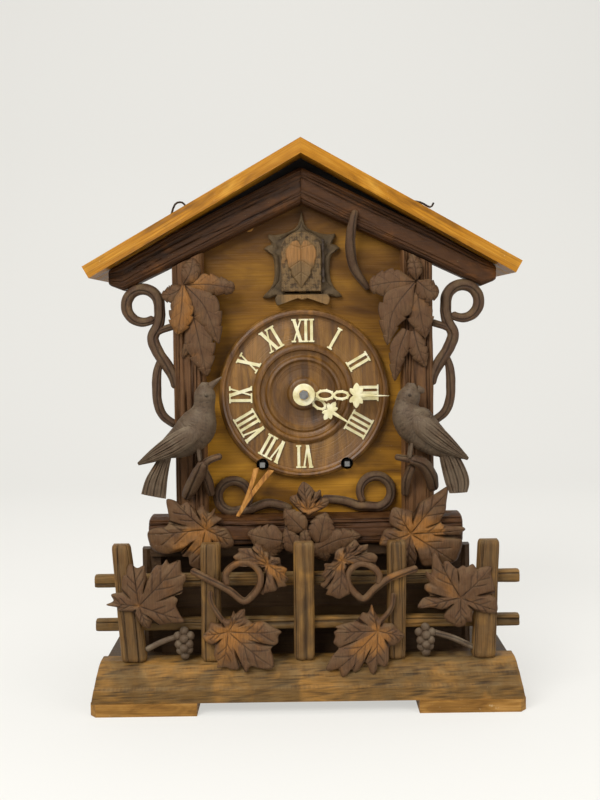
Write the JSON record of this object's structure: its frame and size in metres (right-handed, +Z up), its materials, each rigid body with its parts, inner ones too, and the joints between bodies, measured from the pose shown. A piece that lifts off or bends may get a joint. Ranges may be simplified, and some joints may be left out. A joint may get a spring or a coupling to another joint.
{
  "type": "cuckoo mantel clock",
  "caption": "Chalet-shaped mantel clock carved with vine leaves and birds, with a log fence, a turned dial, a cuckoo door and a spring movement.",
  "frame": {"origin": "middle of the footprint, on the surface the clock stands on", "axes": "+Z up, -Y is the front with the dial, +X to the right as seen from the front"},
  "size_m": [0.36, 0.194, 0.466],
  "materials": {
    "dark_wood": "dark stained oak and bark, worn satin",
    "mid_wood": "brown stained limewood, dusty satin",
    "honey_wood": "honey varnished spruce, worn satin",
    "leaf_wood": "carved limewood, grey brown, dusty",
    "bone": "carved bone, yellowed, satin",
    "brass": "lacquered brass, aged",
    "steel": "blued and bare steel, dull"
  },
  "bodies": {
    "case": {"feet": "honey_wood", "base_box": "mid_wood", "base_log": "mid_wood", "plinth": "dark_wood", "cross_log": "dark_wood", "seat_board": "honey_wood", "front_board": "honey_wood", "sides": "honey_wood", "back_board": "honey_wood", "roof_left": "honey_wood", "roof_right": "honey_wood", "rafters": "dark_wood", "columns": "dark_wood", "dial": "mid_wood", "numerals": "bone", "door_frame": "dark_wood", "upper_leaves": "leaf_wood", "scrolls": "dark_wood", "bird_left": "leaf_wood", "bird_right": "leaf_wood", "perches": "dark_wood", "vines": "dark_wood", "lower_leaves": "leaf_wood", "leaf_centre": "leaf_wood", "fence_posts": "mid_wood", "fence_rails": "mid_wood", "fence_leaves": "leaf_wood", "fence_sprigs": "leaf_wood", "grapes": "leaf_wood", "gable_branch": "dark_wood", "loose_strip": "honey_wood", "roof_hooks": "steel", "front_plate": "brass", "back_plate": "brass", "bird_shelf": "honey_wood", "whistles": "honey_wood", "gong": "steel"},
    "back_door": {"back_door": "honey_wood"},
    "door_button": {"door_button": "dark_wood"},
    "minute": {"centre_wheel": "brass", "minute_hand": "bone"},
    "hour": {"hour_wheel": "brass", "hour_hand": "bone"},
    "minute_wheel": {"minute_wheel": "brass"},
    "intermediate": {"intermediate_wheel": "brass"},
    "going_barrel": {"going_barrel": "brass"},
    "going_arbor": {"going_arbor": "steel"},
    "third": {"third_wheel": "brass"},
    "escape": {"escape_wheel": "brass"},
    "pendulum": {"pendulum": "brass"},
    "pallets": {"pallets": "steel"},
    "strike_barrel": {"strike_barrel": "brass"},
    "strike_arbor": {"strike_arbor": "steel"},
    "pin_wheel": {"pin_wheel": "brass"},
    "fly": {"fly": "brass"},
    "gong_hammer": {"gong_hammer": "brass"},
    "bellows_left": {"bellows_left": "honey_wood"},
    "bellows_right": {"bellows_right": "honey_wood"},
    "cuckoo_door": {"cuckoo_door": "leaf_wood"},
    "cuckoo": {"cuckoo": "leaf_wood"}
  },
  "joints": [
    {"name": "minute_hand_turn", "type": "hinge", "parent": "case", "child": "minute", "pos_m": [0, -0.02, 0.256], "axis": [0, 1, 0], "continuous": true},
    {"name": "hour_hand_turn", "type": "hinge", "parent": "case", "child": "hour", "pos_m": [0, -0.03, 0.256], "axis": [0, 1, 0], "continuous": true},
    {"name": "minute_wheel_turn", "type": "hinge", "parent": "case", "child": "minute_wheel", "pos_m": [-0.0172, -0.015, 0.24396], "axis": [0, 1, 0], "continuous": true},
    {"name": "intermediate_turn", "type": "hinge", "parent": "case", "child": "intermediate", "pos_m": [0.02528, 0.012, 0.23037], "axis": [0, 1, 0], "continuous": true},
    {"name": "going_barrel_turn", "type": "hinge", "parent": "case", "child": "going_barrel", "pos_m": [0.036, 0.024, 0.196], "axis": [0, 1, 0], "continuous": true},
    {"name": "third_turn", "type": "hinge", "parent": "case", "child": "third", "pos_m": [-0.01775, 0.012, 0.27675], "axis": [0, 1, 0], "continuous": true},
    {"name": "escape_turn", "type": "hinge", "parent": "case", "child": "escape", "pos_m": [0, 0.028, 0.292], "axis": [0, 1, 0], "continuous": true},
    {"name": "going_arbor_wind", "type": "hinge", "parent": "case", "child": "going_arbor", "pos_m": [0.036, 0.01, 0.196], "axis": [0, 1, 0], "continuous": true},
    {"name": "pendulum_swing", "type": "hinge", "parent": "case", "child": "pendulum", "pos_m": [0, 0.051, 0.322], "axis": [0, 1, 0], "range_deg": [-3.5, 3.5]},
    {"name": "pallets_rock", "type": "hinge", "parent": "case", "child": "pallets", "pos_m": [0, 0.032, 0.314], "axis": [0, 1, 0], "range_deg": [-6, 6]},
    {"name": "strike_barrel_turn", "type": "hinge", "parent": "case", "child": "strike_barrel", "pos_m": [-0.036, 0.024, 0.196], "axis": [0, 1, 0], "continuous": true},
    {"name": "pin_wheel_turn", "type": "hinge", "parent": "case", "child": "pin_wheel", "pos_m": [-0.04225, 0.012, 0.23145], "axis": [0, 1, 0], "continuous": true},
    {"name": "fly_turn", "type": "hinge", "parent": "case", "child": "fly", "pos_m": [-0.05739, 0.02, 0.25308], "axis": [0, 1, 0], "continuous": true},
    {"name": "strike_arbor_wind", "type": "hinge", "parent": "case", "child": "strike_arbor", "pos_m": [-0.036, 0.01, 0.196], "axis": [0, 1, 0], "continuous": true},
    {"name": "gong_hammer_lift", "type": "hinge", "parent": "case", "child": "gong_hammer", "pos_m": [0.0049, 0.06, 0.338], "axis": [0, 1, 0], "range_deg": [0, 20]},
    {"name": "bellows_left_lift", "type": "hinge", "parent": "case", "child": "bellows_left", "pos_m": [-0.083, 0.0262, 0.345], "axis": [-1, 0, 0], "range_deg": [0, 14]},
    {"name": "bellows_right_lift", "type": "hinge", "parent": "case", "child": "bellows_right", "pos_m": [0.083, 0.0262, 0.345], "axis": [-1, 0, 0], "range_deg": [0, 14]},
    {"name": "cuckoo_door_swing", "type": "hinge", "parent": "case", "child": "cuckoo_door", "pos_m": [0.0176, -0.0415, 0.366], "axis": [0, 0, 1], "range_deg": [0, 100]},
    {"name": "cuckoo_slide", "type": "slide", "parent": "case", "child": "cuckoo", "axis": [0, -1, 0], "range_m": [0, 0.034]},
    {"name": "back_door_swing", "type": "hinge", "parent": "case", "child": "back_door", "pos_m": [-0.0716, 0.0824, 0.268], "axis": [0, 0, 1], "range_deg": [0, 110]},
    {"name": "door_button_turn", "type": "hinge", "parent": "case", "child": "door_button", "pos_m": [0.077, 0.082, 0.268], "axis": [0, 1, 0], "range_deg": [0, 90]}
  ],
  "couplings": [
    {"joint": "hour_hand_turn", "follows": "minute_hand_turn", "ratio": 0.083333},
    {"joint": "minute_wheel_turn", "follows": "minute_hand_turn", "ratio": -0.33333},
    {"joint": "intermediate_turn", "follows": "minute_hand_turn", "ratio": -0.125},
    {"joint": "going_barrel_turn", "follows": "minute_hand_turn", "ratio": 0.025},
    {"joint": "third_turn", "follows": "minute_hand_turn", "ratio": -12},
    {"joint": "escape_turn", "follows": "minute_hand_turn", "ratio": 144},
    {"joint": "pallets_rock", "follows": "pendulum_swing", "ratio": 1.4444},
    {"joint": "pin_wheel_turn", "follows": "strike_barrel_turn", "ratio": -5},
    {"joint": "fly_turn", "follows": "strike_barrel_turn", "ratio": 50},
    {"joint": "cuckoo_slide", "follows": "cuckoo_door_swing", "m_per_rad": 0.019481}
  ]
}
